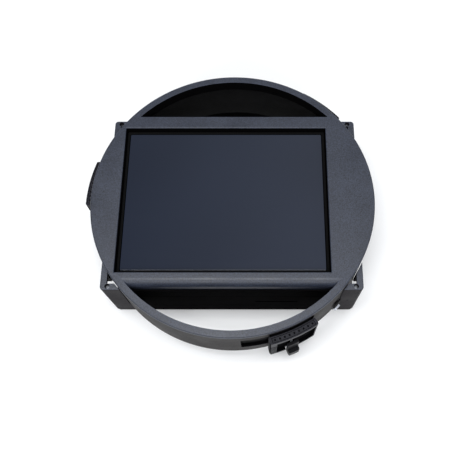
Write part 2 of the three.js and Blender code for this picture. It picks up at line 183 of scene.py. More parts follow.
# ---------------------------------------------------------------- camera, floor and light
def make_camera():
    data = bpy.data.cameras.new("studio_camera")
    data.lens = 48.72
    data.sensor_width = 36
    data.shift_x = -0.0684
    data.clip_start = 0.01
    camera = bpy.data.objects.new("studio_camera", data)
    camera.location = at(10.49, -96.39, FACE + 215.16)
    camera.rotation_euler = (math.radians(21.153), 0, 0)
    bpy.context.scene.collection.objects.link(camera)
    bpy.context.scene.camera = camera


def make_light(name, place, target, size, watts, colour):
    data = bpy.data.lights.new(name, "AREA")
    data.shape = "RECTANGLE"
    data.size, data.size_y = size
    data.energy = watts
    data.color = colour
    light = bpy.data.objects.new(name, data)
    light.location = place
    backward = (Vector(place) - Vector(target)).normalized()
    sideways = (Vector((1, 0, 0)) - backward * backward.x).normalized()
    light.rotation_euler = Matrix((sideways, backward.cross(sideways), backward)).transposed().to_euler()
    bpy.context.scene.collection.objects.link(light)


def make_floor():
    bpy.ops.object.select_all(action="DESELECT")
    bpy.ops.mesh.primitive_plane_add(size=3, location=(0, 0, 0))
    floor = bpy.context.object
    floor.name = "studio_floor"
    paper = bpy.data.materials.new("white_paper")
    paper.use_nodes = True
    surface = paper.node_tree.nodes["Principled BSDF"]
    surface.inputs["Base Color"].default_value = (0.9, 0.9, 0.9, 1)
    surface.inputs["Roughness"].default_value = 0.9
    floor.data.materials.append(paper)


def make_backdrop():
    """A dim room that is a little brighter to the right, for the glass to reflect."""
    world = bpy.data.worlds.new("studio_world")
    bpy.context.scene.world = world
    world.use_nodes = True
    nodes, links = world.node_tree.nodes, world.node_tree.links
    backdrop = nodes["Background"]
    backdrop.inputs["Color"].default_value = (0.96, 0.975, 1.0, 1)

    way = nodes.new("ShaderNodeTexCoord")
    way.label = "way into the room"
    way.location = (-800, 0)

    sides = nodes.new("ShaderNodeSeparateXYZ")
    sides.label = "left to right"
    sides.location = (-600, 0)
    links.new(way.outputs["Generated"], sides.inputs["Vector"])

    fall = nodes.new("ShaderNodeMapRange")
    fall.label = "brighter to the right"
    fall.location = (-400, 0)
    fall.inputs["From Min"].default_value = -0.25
    fall.inputs["From Max"].default_value = 0.08
    fall.inputs["To Min"].default_value = 0.2
    fall.inputs["To Max"].default_value = 0.64
    links.new(sides.outputs["X"], fall.inputs["Value"])
    links.new(fall.outputs["Result"], backdrop.inputs["Strength"])


def make_studio():
    bpy.context.scene.view_settings.view_transform = "Standard"
    make_floor()
    make_backdrop()
    make_light("overhead_softbox", (-0.1, -0.06, 0.95), (0, -0.01, 0.03), (0.75, 0.34), 7.8, (0.97, 0.985, 1))
    make_light("front_strip", (-0.05, -0.66, 0.68), (0, -0.03, 0.035), (0.7, 0.05), 3.0, (0.97, 0.98, 1))


make_camera()
make_studio()


# ---------------------------------------------------------------- bench work: blanks, cuts and edges
def only(piece):
    bpy.ops.object.select_all(action="DESELECT")
    piece.select_set(True)
    bpy.context.view_layer.objects.active = piece


def settle(piece, name):
    """Names a new piece and applies its place, so that its object sits at the origin."""
    piece.name = name
    piece.data.name = name
    only(piece)
    bpy.ops.object.transform_apply(location=True, rotation=True, scale=True)
    return piece


def box_blank(name, low, high):
    low, high = at(*low), at(*high)
    bpy.ops.mesh.primitive_cube_add(size=1, location=(low + high) / 2, scale=high - low)
    return settle(bpy.context.object, name)


def round_blank(name, radius, heights, centre=(0, 0), sides=ROUND):
    bottom, top = heights
    place = at(centre[0], centre[1], (bottom + top) / 2)
    bpy.ops.mesh.primitive_cylinder_add(
        vertices=sides, radius=radius * MM, depth=(top - bottom) * MM, location=place)
    return settle(bpy.context.object, name)


def wedge_blank(name, radii, span, heights, per_step=1.5):
    """Part of a ring: an upright plane, spun about the ring's axis between two angles."""
    inner, outer = radii
    bottom, top = heights
    bpy.ops.mesh.primitive_plane_add(
        size=1, location=((inner + outer) / 2 * MM, 0, (bottom + top) / 2 * MM),
        rotation=(math.pi / 2, 0, 0))
    wedge = bpy.context.object
    wedge.scale = ((outer - inner) * MM, (top - bottom) * MM, 1)
    settle(wedge, name)
    wedge.rotation_euler.z = math.radians(span[0])
    wedge.location = at(0, 0, 0)
    settle(wedge, name)
    bpy.ops.object.mode_set(mode="EDIT")
    bpy.ops.mesh.select_all(action="SELECT")
    steps = max(2, math.ceil((span[1] - span[0]) / per_step))
    bpy.ops.mesh.spin(
        steps=steps, angle=-math.radians(span[1] - span[0]), center=at(0, 0, 0), axis=(0, 0, 1))
    bpy.ops.mesh.select_all(action="SELECT")
    bpy.ops.mesh.remove_doubles(threshold=1e-7)
    bpy.ops.mesh.normals_make_consistent(inside=False)
    bpy.ops.object.mode_set(mode="OBJECT")
    return wedge


def merge_tool(piece, tool, operation):
    only(piece)
    step = piece.modifiers.new("joint", "BOOLEAN")
    step.operation = operation
    step.solver = "EXACT"
    step.object = tool
    bpy.ops.object.modifier_apply(modifier=step.name)
    bpy.data.objects.remove(tool)


def cut(piece, *tools):
    for tool in tools:
        merge_tool(piece, tool, "DIFFERENCE")


def weld(piece, *others):
    for other in others:
        merge_tool(piece, other, "UNION")


def keep_common(piece, tool):
    merge_tool(piece, tool, "INTERSECT")


def select_edges(piece, wanted):
    """Selects the edges for which wanted(first end, second end) is true, in millimetres about the axis."""
    only(piece)
    bpy.ops.object.mode_set(mode="EDIT")
    bpy.ops.mesh.select_mode(type="EDGE")
    bpy.ops.mesh.select_all(action="DESELECT")
    bpy.ops.object.mode_set(mode="OBJECT")
    shift = Vector((AXIS_X, AXIS_Y, 0))
    places = [(vertex.co - shift) / MM for vertex in piece.data.vertices]
    for edge in piece.data.edges:
        first, second = (places[index] for index in edge.vertices)
        edge.select = bool(wanted(first, second))
    bpy.ops.object.mode_set(mode="EDIT")


def round_edges(piece, wanted, radius, segments):
    select_edges(piece, wanted)
    bpy.ops.mesh.bevel(offset=radius * MM, segments=segments, affect="EDGES")
    bpy.ops.object.mode_set(mode="OBJECT")


def flatten(piece):
    """Clears the leftovers of cutting: doubled points and edges inside flat faces."""
    only(piece)
    bpy.ops.object.mode_set(mode="EDIT")
    bpy.ops.mesh.select_all(action="SELECT")
    bpy.ops.mesh.remove_doubles(threshold=2e-6)
    bpy.ops.mesh.dissolve_limited(angle_limit=math.radians(0.2))
    bpy.ops.object.mode_set(mode="OBJECT")


def soften(piece, width, segments=2, sharper_than=38):
    """Breaks every sharp edge of a finished piece, as a mould does, and smooths what is round."""
    flatten(piece)
    step = piece.modifiers.new("soft edges", "BEVEL")
    step.width = width * MM
    step.segments = segments
    step.limit_method = "ANGLE"
    step.angle_limit = math.radians(sharper_than)
    step.use_clamp_overlap = True
    only(piece)
    bpy.ops.object.modifier_apply(modifier=step.name)
    bpy.ops.object.shade_smooth_by_angle(angle=math.radians(32))
    weigh = piece.modifiers.new("flat faces stay flat", "WEIGHTED_NORMAL")
    weigh.keep_sharp = True
    weigh.weight = 100
    bpy.ops.object.modifier_apply(modifier=weigh.name)


def radius_of(point):
    return math.hypot(point.x, point.y)


def upright(a, b):
    return abs(a.x - b.x) < NEAR and abs(a.y - b.y) < NEAR


def finish_faces(piece, material, wanted):
    """Another finish for the faces for which wanted(centre, normal) is true, in mm about the axis."""
    piece.data.materials.append(material)
    index = len(piece.data.materials) - 1
    shift = Vector((AXIS_X, AXIS_Y, 0))
    for polygon in piece.data.polygons:
        if wanted((polygon.center - shift) / MM, polygon.normal):
            polygon.material_index = index


def hand_over(piece, body, slot, material, *nodes):
    piece.data.materials.clear()
    piece.data.materials.append(material)
    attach(piece, body)
    if nodes:
        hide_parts(*nodes)


# ---------------------------------------------------------------- finishes
def moulded_plastic(name, colour, grain, roughness, speck, shine, shade_within=0.0):
    """Spark-eroded plastic: cloudy tone, fine specks that are partly grain and partly painted glints, grain,
    edges painted lighter for wear and painted highlights, and painted shade that turns it near-black inside a
    radius.
    """
    material = bpy.data.materials.new(name)
    material.use_nodes = True
    nodes, links = material.node_tree.nodes, material.node_tree.links
    nodes.clear()

    tone_frame = nodes.new("NodeFrame")
    tone_frame.label = "tone of the moulding"
    grain_frame = nodes.new("NodeFrame")
    grain_frame.label = "spark-eroded grain"
    wear_highlight_frame = nodes.new("NodeFrame")
    wear_highlight_frame.label = "edge wear and painted edge highlights"

    place = nodes.new("ShaderNodeTexCoord")
    place.label = "place on the piece"
    place.location = (-1500, 0)

    clouds = nodes.new("ShaderNodeTexNoise")
    clouds.label = "uneven tone from the mould"
    clouds.location = (-1250, 350)
    clouds.parent = tone_frame
    clouds.inputs["Scale"].default_value = 85
    clouds.inputs["Detail"].default_value = 5
    clouds.inputs["Roughness"].default_value = 0.6
    links.new(place.outputs["Object"], clouds.inputs["Vector"])

    cloud_tone = nodes.new("ShaderNodeMapRange")
    cloud_tone.label = "how far the tone drifts"
    cloud_tone.location = (-1000, 350)
    cloud_tone.parent = tone_frame
    cloud_tone.inputs["From Min"].default_value = 0.3
    cloud_tone.inputs["From Max"].default_value = 0.7
    cloud_tone.inputs["To Min"].default_value = 0.86
    cloud_tone.inputs["To Max"].default_value = 1.14
    links.new(clouds.outputs["Fac"], cloud_tone.inputs["Value"])

    specks = nodes.new("ShaderNodeTexNoise")
    specks.label = "fine light and dark specks"
    specks.location = (-1250, 80)
    specks.parent = tone_frame
    specks.inputs["Scale"].default_value = 2300
    specks.inputs["Detail"].default_value = 3
    specks.inputs["Roughness"].default_value = 0.7
    links.new(place.outputs["Object"], specks.inputs["Vector"])

    # The specks in the colour are partly grain and partly painted glints.
    speck_glint_tone = nodes.new("ShaderNodeMapRange")
    speck_glint_tone.label = "contrast of grain specks and painted glints"
    speck_glint_tone.location = (-1000, 80)
    speck_glint_tone.parent = tone_frame
    speck_glint_tone.inputs["From Min"].default_value = 0.25
    speck_glint_tone.inputs["From Max"].default_value = 0.75
    speck_glint_tone.inputs["To Min"].default_value = 1 - speck
    speck_glint_tone.inputs["To Max"].default_value = 1 + speck
    links.new(specks.outputs["Fac"], speck_glint_tone.inputs["Value"])

    both_tones = nodes.new("ShaderNodeMath")
    both_tones.label = "drift and specks together"
    both_tones.location = (-780, 220)
    both_tones.parent = tone_frame
    both_tones.operation = "MULTIPLY"
    links.new(cloud_tone.outputs["Result"], both_tones.inputs[0])
    links.new(speck_glint_tone.outputs["Result"], both_tones.inputs[1])

    tinted = nodes.new("ShaderNodeVectorMath")
    tinted.label = "moulding colour"
    tinted.location = (-560, 220)
    tinted.parent = tone_frame
    tinted.operation = "SCALE"
    tinted.inputs[0].default_value = colour
    links.new(both_tones.outputs[0], tinted.inputs["Scale"])

    form = nodes.new("ShaderNodeNewGeometry")
    form.label = "the form itself"
    form.location = (-1450, -250)
    form.parent = wear_highlight_frame

    rounded = nodes.new("ShaderNodeBevel")
    rounded.label = "the form with its edges rubbed round"
    rounded.location = (-1450, -420)
    rounded.parent = wear_highlight_frame
    rounded.samples = 4
    rounded.inputs["Radius"].default_value = 0.00035

    turn = nodes.new("ShaderNodeVectorMath")
    turn.label = "where the two differ"
    turn.location = (-1250, -250)
    turn.parent = wear_highlight_frame
    turn.operation = "DOT_PRODUCT"
    links.new(form.outputs["Normal"], turn.inputs[0])
    links.new(rounded.outputs["Normal"], turn.inputs[1])

    edge_band = nodes.new("ShaderNodeMapRange")
    edge_band.label = "only along the edges"
    edge_band.location = (-1000, -250)
    edge_band.parent = wear_highlight_frame
    edge_band.inputs["From Min"].default_value = 0.99
    edge_band.inputs["From Max"].default_value = 0.88
    links.new(turn.outputs["Value"], edge_band.inputs["Value"])

    edge_break = nodes.new("ShaderNodeMath")
    edge_break.label = "wear and highlight broken up by the tone"
    edge_break.location = (-780, -250)
    edge_break.parent = wear_highlight_frame
    edge_break.operation = "MULTIPLY"
    links.new(edge_band.outputs["Result"], edge_break.inputs[0])
    links.new(clouds.outputs["Fac"], edge_break.inputs[1])

    # Lighter edges: partly rubbed wear, partly painted highlight along the edges.
    edge_wear_and_highlight = nodes.new("ShaderNodeMix")
    edge_wear_and_highlight.label = "lighter edges from wear and painted highlight"
    edge_wear_and_highlight.location = (-330, 120)
    edge_wear_and_highlight.parent = wear_highlight_frame
    edge_wear_and_highlight.data_type = "RGBA"
    edge_wear_and_highlight.inputs["B"].default_value = tuple(min(1, value * 2.6 + 0.007) for value in colour) + (1,)
    links.new(edge_break.outputs[0], edge_wear_and_highlight.inputs["Factor"])
    links.new(tinted.outputs["Vector"], edge_wear_and_highlight.inputs["A"])

    pits = nodes.new("ShaderNodeTexVoronoi")
    pits.label = "pits left by the spark"
    pits.location = (-1250, -520)
    pits.parent = grain_frame
    pits.inputs["Scale"].default_value = grain
    links.new(place.outputs["Object"], pits.inputs["Vector"])

    pit_height = nodes.new("ShaderNodeMath")
    pit_height.label = "pits with finer dust in them"
    pit_height.location = (-780, -520)
    pit_height.parent = grain_frame
    pit_height.operation = "ADD"
    links.new(pits.outputs["Distance"], pit_height.inputs[0])
    links.new(specks.outputs["Fac"], pit_height.inputs[1])

    relief = nodes.new("ShaderNodeBump")
    relief.label = "depth of the grain"
    relief.location = (-330, -520)
    relief.parent = grain_frame
    relief.inputs["Strength"].default_value = 0.35
    relief.inputs["Distance"].default_value = 0.00006
    links.new(pit_height.outputs[0], relief.inputs["Height"])

    sheen_range = nodes.new("ShaderNodeMapRange")
    sheen_range.label = "handled patches shine more"
    sheen_range.location = (-560, -120)
    sheen_range.parent = grain_frame
    sheen_range.inputs["From Min"].default_value = 0.3
    sheen_range.inputs["From Max"].default_value = 0.7
    sheen_range.inputs["To Min"].default_value = roughness - 0.07
    sheen_range.inputs["To Max"].default_value = roughness + 0.07
    links.new(clouds.outputs["Fac"], sheen_range.inputs["Value"])

    # Painted shade: within the given radius of the ring's axis the colour turns near-black, rougher and hardly
    # reflecting, standing in for the shade inside the skirt.
    shade_frame = nodes.new("NodeFrame")
    shade_frame.label = "painted shade inside the skirt"

    from_axis = nodes.new("ShaderNodeMapping")
    from_axis.label = "measured flat from the ring's axis"
    from_axis.location = (-1250, -800)
    from_axis.parent = shade_frame
    from_axis.inputs["Location"].default_value = (-AXIS_X, -AXIS_Y, 0)
    from_axis.inputs["Scale"].default_value = (1, 1, 0)
    links.new(place.outputs["Object"], from_axis.inputs["Vector"])

    axis_distance = nodes.new("ShaderNodeVectorMath")
    axis_distance.label = "distance from the axis"
    axis_distance.location = (-1000, -800)
    axis_distance.parent = shade_frame
    axis_distance.operation = "LENGTH"
    links.new(from_axis.outputs["Vector"], axis_distance.inputs[0])

    shade_edge = nodes.new("ShaderNodeMapRange")
    shade_edge.label = "where the painted shade stops"
    shade_edge.location = (-780, -800)
    shade_edge.parent = shade_frame
    shade_edge.inputs["From Min"].default_value = shade_within * MM
    shade_edge.inputs["From Max"].default_value = (shade_within + 0.25) * MM
    shade_edge.inputs["To Min"].default_value = 1
    shade_edge.inputs["To Max"].default_value = 0
    links.new(axis_distance.outputs["Value"], shade_edge.inputs["Value"])

    painted = nodes.new("ShaderNodeMix")
    painted.label = "painted shade over the plastic"
    painted.location = (-330, -800)
    painted.parent = shade_frame
    painted.data_type = "RGBA"
    painted.inputs["B"].default_value = (0.0026, 0.0025, 0.0029, 1)
    links.new(shade_edge.outputs["Result"], painted.inputs["Factor"])
    links.new(edge_wear_and_highlight.outputs["Result"], painted.inputs["A"])

    shade_roughness = nodes.new("ShaderNodeMix")
    shade_roughness.label = "painted shade is rougher"
    shade_roughness.location = (-330, -1050)
    shade_roughness.parent = shade_frame
    shade_roughness.inputs["B"].default_value = 0.92
    links.new(shade_edge.outputs["Result"], shade_roughness.inputs["Factor"])
    links.new(sheen_range.outputs["Result"], shade_roughness.inputs["A"])

    shade_specular = nodes.new("ShaderNodeMapRange")
    shade_specular.label = "painted shade hardly reflects"
    shade_specular.location = (-330, -1300)
    shade_specular.parent = shade_frame
    shade_specular.inputs["From Min"].default_value = shade_within * MM
    shade_specular.inputs["From Max"].default_value = (shade_within + 0.25) * MM
    shade_specular.inputs["To Min"].default_value = 0.01
    shade_specular.inputs["To Max"].default_value = shine
    links.new(axis_distance.outputs["Value"], shade_specular.inputs["Value"])

    surface = nodes.new("ShaderNodeBsdfPrincipled")
    surface.label = "satin plastic"
    surface.location = (-60, 0)
    surface.inputs["IOR"].default_value = 1.5
    links.new(shade_specular.outputs["Result"], surface.inputs["Specular IOR Level"])
    links.new(painted.outputs["Result"], surface.inputs["Base Color"])
    links.new(shade_roughness.outputs["Result"], surface.inputs["Roughness"])
    links.new(relief.outputs["Normal"], surface.inputs["Normal"])

    output = nodes.new("ShaderNodeOutputMaterial")
    output.location = (240, 0)
    links.new(surface.outputs["BSDF"], output.inputs["Surface"])
    return material


def coated_glass(name, colour, roughness):
    """Dark coated glass: a deep tint that drifts, and a faint wiped film that dulls the gloss."""
    material = bpy.data.materials.new(name)
    material.use_nodes = True
    nodes, links = material.node_tree.nodes, material.node_tree.links
    nodes.clear()

    tint_frame = nodes.new("NodeFrame")
    tint_frame.label = "tint of the coating"
    film_frame = nodes.new("NodeFrame")
    film_frame.label = "wiped film"

    place = nodes.new("ShaderNodeTexCoord")
    place.label = "place on the pane"
    place.location = (-1100, 0)

    drift = nodes.new("ShaderNodeTexNoise")
    drift.label = "slow drift of the coating"
    drift.location = (-850, 220)
    drift.parent = tint_frame
    drift.inputs["Scale"].default_value = 14
    drift.inputs["Detail"].default_value = 1
    links.new(place.outputs["Object"], drift.inputs["Vector"])

    tint = nodes.new("ShaderNodeValToRGB")
    tint.label = "from blue-black to slate"
    tint.location = (-600, 220)
    tint.parent = tint_frame
    tint.color_ramp.elements[0].position = 0.3
    tint.color_ramp.elements[0].color = tuple(value * 0.85 for value in colour) + (1,)
    tint.color_ramp.elements[1].position = 0.7
    tint.color_ramp.elements[1].color = tuple(value * 1.2 for value in colour) + (1,)
    links.new(drift.outputs["Fac"], tint.inputs["Fac"])

    strokes_place = nodes.new("ShaderNodeMapping")
    strokes_place.label = "strokes run along the pane"
    strokes_place.location = (-850, -150)
    strokes_place.parent = film_frame
    strokes_place.inputs["Scale"].default_value = (1, 6, 1)
    links.new(place.outputs["Object"], strokes_place.inputs["Vector"])

    strokes = nodes.new("ShaderNodeTexNoise")
    strokes.label = "wiping strokes"
    strokes.location = (-620, -150)
    strokes.parent = film_frame
    strokes.inputs["Scale"].default_value = 40
    strokes.inputs["Detail"].default_value = 4
    links.new(strokes_place.outputs["Vector"], strokes.inputs["Vector"])

    dulling = nodes.new("ShaderNodeMapRange")
    dulling.label = "how far the film dulls"
    dulling.location = (-380, -150)
    dulling.parent = film_frame
    dulling.inputs["From Min"].default_value = 0.35
    dulling.inputs["From Max"].default_value = 0.65
    dulling.inputs["To Min"].default_value = roughness * 0.7
    dulling.inputs["To Max"].default_value = roughness * 1.5
    links.new(strokes.outputs["Fac"], dulling.inputs["Value"])

    surface = nodes.new("ShaderNodeBsdfPrincipled")
    surface.label = "polished glass"
    surface.location = (-60, 0)
    surface.inputs["IOR"].default_value = 1.5
    links.new(tint.outputs["Color"], surface.inputs["Base Color"])
    links.new(dulling.outputs["Result"], surface.inputs["Roughness"])

    output = nodes.new("ShaderNodeOutputMaterial")
    output.location = (240, 0)
    links.new(surface.outputs["BSDF"], output.inputs["Surface"])
    return material


def worked_metal(name, colour, roughness, metallic, shine, scratch_depth):
    """Machined metal: a drifting tone, fine turning scratches and roughness that follows them."""
    material = bpy.data.materials.new(name)
    material.use_nodes = True
    nodes, links = material.node_tree.nodes, material.node_tree.links
    nodes.clear()

    tone_frame = nodes.new("NodeFrame")
    tone_frame.label = "tone of the metal"
    scratch_frame = nodes.new("NodeFrame")
    scratch_frame.label = "tool marks"

    place = nodes.new("ShaderNodeTexCoord")
    place.label = "place on the piece"
    place.location = (-1300, 0)

    stain = nodes.new("ShaderNodeTexNoise")
    stain.label = "stain and handling"
    stain.location = (-1050, 250)
    stain.parent = tone_frame
    stain.inputs["Scale"].default_value = 260
    stain.inputs["Detail"].default_value = 4
    links.new(place.outputs["Object"], stain.inputs["Vector"])

    tone = nodes.new("ShaderNodeValToRGB")
    tone.label = "dull to clean"
    tone.location = (-800, 250)
    tone.parent = tone_frame
    tone.color_ramp.elements[0].position = 0.3
    tone.color_ramp.elements[0].color = tuple(value * 0.7 for value in colour) + (1,)
    tone.color_ramp.elements[1].position = 0.7
    tone.color_ramp.elements[1].color = tuple(min(1, value * 1.15) for value in colour) + (1,)
    links.new(stain.outputs["Fac"], tone.inputs["Fac"])

    stretch = nodes.new("ShaderNodeMapping")
    stretch.label = "marks run round the height"
    stretch.location = (-1050, -150)
    stretch.parent = scratch_frame
    stretch.inputs["Scale"].default_value = (1, 1, 14)
    links.new(place.outputs["Object"], stretch.inputs["Vector"])

    marks = nodes.new("ShaderNodeTexNoise")
    marks.label = "turning marks"
    marks.location = (-800, -150)
    marks.parent = scratch_frame
    marks.inputs["Scale"].default_value = 500
    marks.inputs["Detail"].default_value = 5
    links.new(stretch.outputs["Vector"], marks.inputs["Vector"])

    mark_dulling = nodes.new("ShaderNodeMapRange")
    mark_dulling.label = "marks scatter the light"
    mark_dulling.location = (-550, -50)
    mark_dulling.parent = scratch_frame
    mark_dulling.inputs["From Min"].default_value = 0.3
    mark_dulling.inputs["From Max"].default_value = 0.7
    mark_dulling.inputs["To Min"].default_value = roughness - 0.08
    mark_dulling.inputs["To Max"].default_value = roughness + 0.1
    links.new(marks.outputs["Fac"], mark_dulling.inputs["Value"])

    relief = nodes.new("ShaderNodeBump")
    relief.label = "depth of the marks"
    relief.location = (-550, -300)
    relief.parent = scratch_frame
    relief.inputs["Strength"].default_value = 0.3
    relief.inputs["Distance"].default_value = scratch_depth
    links.new(marks.outputs["Fac"], relief.inputs["Height"])

    surface = nodes.new("ShaderNodeBsdfPrincipled")
    surface.label = "metal"
    surface.location = (-60, 0)
    surface.inputs["Metallic"].default_value = metallic
    surface.inputs["Specular IOR Level"].default_value = shine
    links.new(tone.outputs["Color"], surface.inputs["Base Color"])
    links.new(mark_dulling.outputs["Result"], surface.inputs["Roughness"])
    links.new(relief.outputs["Normal"], surface.inputs["Normal"])

    output = nodes.new("ShaderNodeOutputMaterial")
    output.location = (240, 0)
    links.new(surface.outputs["BSDF"], output.inputs["Surface"])
    return material


FACE_PLASTIC = moulded_plastic("face_plastic", (0.0195, 0.0242, 0.039), 2600, 0.44, 1.0, 0.5)
BODY_PLASTIC = moulded_plastic("body_plastic", (0.0175, 0.0155, 0.0158), 2400, 0.5, 1.0, 0.045)
# Painted shade: the tray turns near-black inside the skirt's circle, where shade falls.
TRAY_PLASTIC = moulded_plastic("tray_plastic", (0.014, 0.0122, 0.0142), 2400, 0.5, 1.0, 0.03, 53.3)
GRIP_PLASTIC = moulded_plastic("grip_plastic", (0.0145, 0.0145, 0.019), 2200, 0.46, 0.9, 0.1)
# Painted shade: the catch is a darker copy of the grip plastic, for the grip's shadow over it.
CATCH_SHADE_PLASTIC = moulded_plastic("catch_plastic", (0.005, 0.005, 0.006), 2200, 0.46, 0.6, 0.05)
# Painted shade: a near-black, barely reflecting plastic for insides, recesses, marks and grooves where shade
# falls; its 200 mm radius paints it everywhere.
PAINTED_SHADE_BLACK = moulded_plastic("inner_black", (0.0014, 0.0014, 0.0016), 1800, 0.9, 0.3, 0, 200)
SEAL_RUBBER = moulded_plastic("seal_rubber", (0.0010, 0.0010, 0.0012), 2200, 0.85, 0.2, 0.1)
WINDOW_GLASS = coated_glass("window_glass", (0.0115, 0.016, 0.0295), 0.07)
BLACK_METAL = worked_metal("black_metal", (0.004, 0.004, 0.0045), 0.62, 0.0, 0.06, 0.00002)
DARK_STEEL = worked_metal("dark_steel", (0.1, 0.104, 0.115), 0.42, 1.0, 0.5, 0.00001)
STEEL = worked_metal("bright_steel", (0.5, 0.52, 0.57), 0.32, 1.0, 0.5, 0.00001)


# ---------------------------------------------------------------- housing
def segment_tool(side, heights):
    """The space between a chord of the face and the round rim."""
    tool = round_blank("segment_tool", RIM_INNER, heights)
    only(tool)
    bpy.ops.object.mode_set(mode="EDIT")
    bpy.ops.mesh.select_all(action="SELECT")
    bpy.ops.mesh.bisect(
        plane_co=at(0, side * CHORD, 0), plane_no=(0, side, 0), use_fill=True, clear_inner=True)
    bpy.ops.object.mode_set(mode="OBJECT")
    return tool


def bezel_rounding_tool():
    """What is taken off the long front edge of the bezel to round it."""
    tool = box_blank(
        "rounding_tool", (-DISC, -CHORD - 1, FACE - BEZEL_RADIUS),
        (DISC, -CHORD + BEZEL_RADIUS, FACE + 1))
    place = at(0, -CHORD + BEZEL_RADIUS, FACE - BEZEL_RADIUS)
    bpy.ops.mesh.primitive_cylinder_add(
        vertices=96, radius=BEZEL_RADIUS * MM, depth=2.2 * DISC * MM, location=place,
        rotation=(0, math.pi / 2, 0))
    cut(tool, settle(bpy.context.object, "rounding_bar"))
    keep_common(tool, round_blank("rounding_reach", RIM_INNER, (FACE - 6, FACE + 2)))
    return tool


def on_window_rim(a, b):
    level = min(a.z, b.z) > FACE - NEAR
    return level and all(
        WINDOW_LOW.x - NEAR < end.x < WINDOW_HIGH.x + NEAR and abs(end.y) < WINDOW_HIGH.y + NEAR
        for end in (a, b))


def on_skirt_outside(centre, normal):
    return abs(normal.z) < 0.5 and radius_of(centre) > DISC - 0.5 and centre.z < FACE - 1.0


def on_housing_inside(centre, _):
    on_bezel_front = centre.y < -CHORD + BEZEL_RADIUS + 0.05 and centre.z > PLATE_BOTTOM + 0.1
    return radius_of(centre) <= DISC - 0.5 and centre.z < FACE - 0.5 and not on_bezel_front


def make_housing():
    housing = round_blank("housing_moulding", DISC, (SKIRT_BOTTOM, FACE))
    round_edges(housing, lambda a, b: min(a.z, b.z) > FACE - NEAR, FACE_ROUND, 5)
    cut(housing, round_blank("cavity", SKIRT_INNER, (SKIRT_BOTTOM - 1, PLATE_BOTTOM)))
    cut(housing, box_blank(
        "window", (WINDOW_LOW.x, WINDOW_LOW.y, PLATE_BOTTOM - 1),
        (WINDOW_HIGH.x, WINDOW_HIGH.y, FACE + 1)))
    for side in (-1, 1):
        cut(housing, segment_tool(side, (PLATE_BOTTOM - 1, FACE + 1)))
    cut(housing, bezel_rounding_tool())
    round_edges(housing, on_window_rim, WINDOW_ROUND, 4)
    weld(housing, wedge_blank(
        "rear_apron", (SKIRT_INNER, DISC), REAR_APRON, (APRON_BOTTOM, SKIRT_BOTTOM + 1)))
    skirt = (RING_OUTER + 0.1, DISC + 1)
    for angle in GRIP_ANGLES.values():
        span = (angle + GRIP_STEM[0] - STEM_ROOM, angle + GRIP_STEM[1] + LOCK_TURN + STEM_ROOM)
        cut(housing, wedge_blank("stem_slot", skirt, span, (SKIRT_SLOT_BOTTOM, SKIRT_SLOT_TOP)))
    cut(housing, wedge_blank("tooth_window", skirt, SKIRT_WINDOW, (SKIRT_SLOT_BOTTOM, ring_high.z)))
    cut(housing, wedge_blank("drain_slot", skirt, DRAIN_SPAN, DRAIN_LEVELS))
    groove = round_blank("groove", DISC + 1, RIM_GROOVE)
    cut(groove, round_blank("groove_core", DISC - RIM_GROOVE_DEPTH, (FACE - 2, FACE)))
    cut(housing, groove)
    soften(housing, 0.16)
    hand_over(housing, "housing", "face_plastic", FACE_PLASTIC, "top_housing")
    finish_faces(housing, BODY_PLASTIC, on_skirt_outside)
    # Painted shade on the skirt's inside, the plate's underside and the window's walls.
    finish_faces(housing, PAINTED_SHADE_BLACK, on_housing_inside)


# ---------------------------------------------------------------- tray
def corner_ledge(side):
    wall = side * (tray_high.x - SIDE_WALL)
    near, far = sorted((wall - side * LEDGE_DEPTH, wall + side * 0.5))
    ledge = box_blank("corner_ledge", (near, LEDGE_Y[0], LEDGE_LEVELS[0]), (far, LEDGE_Y[1], LEDGE_LEVELS[1]))
    cut(ledge, round_blank("ledge_clear", NOTCH[1], (LEDGE_LEVELS[0] - 1, LEDGE_LEVELS[1] + 1.5)))
    return ledge


def side_windows(side):
    """Openings in the side wall of a front tower: a low wide one and a high narrow one."""
    near, far = sorted((side * (tray_high.x - SIDE_WALL - 0.5), side * (tray_high.x + 0.5)))
    return [
        box_blank("side_window", (near, ends[0], levels[0]), (far, ends[1], levels[1]))
        for ends, levels in ((LOW_WINDOW_Y, LOW_WINDOW_LEVELS), (HIGH_WINDOW_Y, HIGH_WINDOW_LEVELS))]


def corner_places():
    x, y = CORNER_SCREW
    return [(side_x * x, side_y * y) for side_x in (-1, 1) for side_y in (-1, 1)]


def stage_shelf(end, wall, y):
    """A shelf from the tray's side wall to under the edge of the film stage."""
    near, far = sorted((end, wall))
    top = STAGE_BOTTOM - GAP
    return box_blank("shelf", (near, y - SHELF_HALF, top - SHELF_THICK), (far, y + SHELF_HALF, top))


def on_tower_top(centre, normal):
    at_wall = max(abs(centre.x) - tray_high.x, abs(centre.y) - tray_high.y) > -SIDE_WALL - 2
    return normal.z > 0.3 and centre.z > BASE_TOP - 0.5 and radius_of(centre) > NOTCH[1] - 0.1 and at_wall


